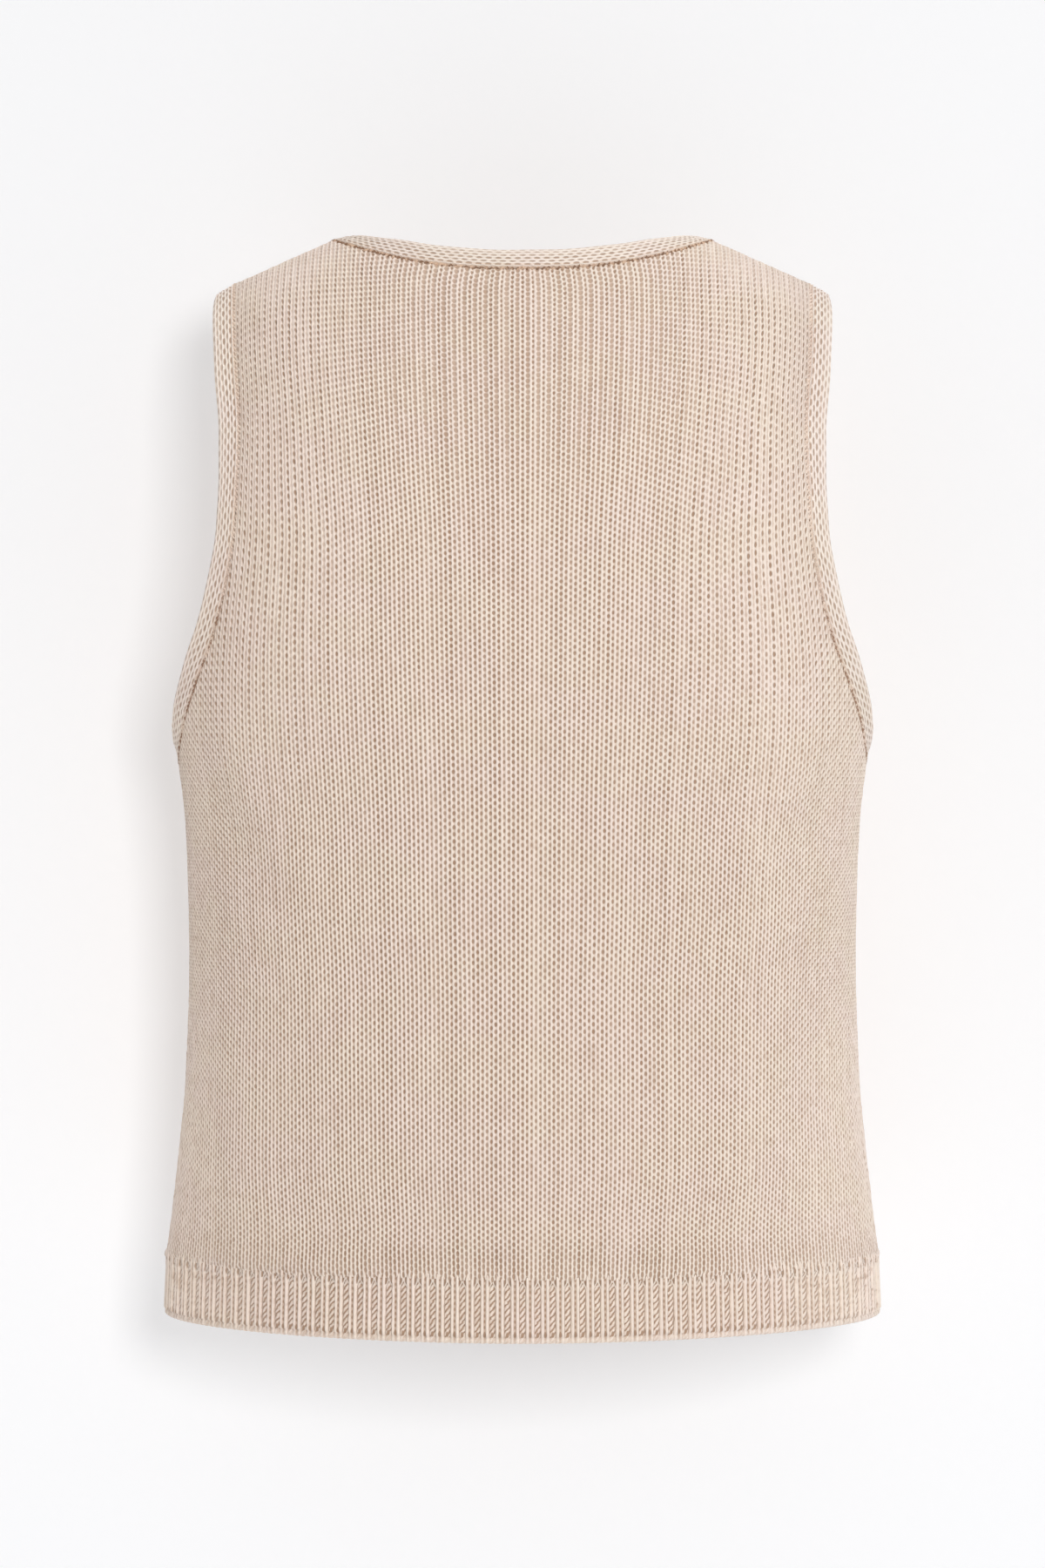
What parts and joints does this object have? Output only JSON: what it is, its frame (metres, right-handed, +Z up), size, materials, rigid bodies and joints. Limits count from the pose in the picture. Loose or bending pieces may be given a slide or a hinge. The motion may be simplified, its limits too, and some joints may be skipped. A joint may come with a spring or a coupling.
{
  "type": "sweater vest",
  "caption": "Sleeveless knitted vest with a V neckline, ribbed hem and narrow knitted bands round the neck and armholes, standing hollow in its worn form.",
  "frame": {"origin": "on the symmetry plane, at the height where the wearer's shoulders carry the garment, midway along the shoulder seams", "axes": "the front faces -Y and the back +Y, +Z is up, and the wearer's left is +X"},
  "size_m": [0.3616, 0.239, 0.5448],
  "materials": {
    "knit_back_panel": "matt cream-beige yarn, plain knit with a ribbed hem",
    "knit_front_panel": "matt cream-beige yarn, plain knit with a ribbed hem",
    "knit_neck_band": "matt cream-beige yarn, plain knit along the band",
    "knit_armhole_band_left": "matt cream-beige yarn, plain knit along the band",
    "knit_armhole_band_right": "matt cream-beige yarn, plain knit along the band"
  },
  "bodies": {
    "root": {"back_panel": "knit_back_panel", "front_panel": "knit_front_panel", "neck_band": "knit_neck_band", "armhole_band_left": "knit_armhole_band_left", "armhole_band_right": "knit_armhole_band_right"}
  },
  "joints": []
}
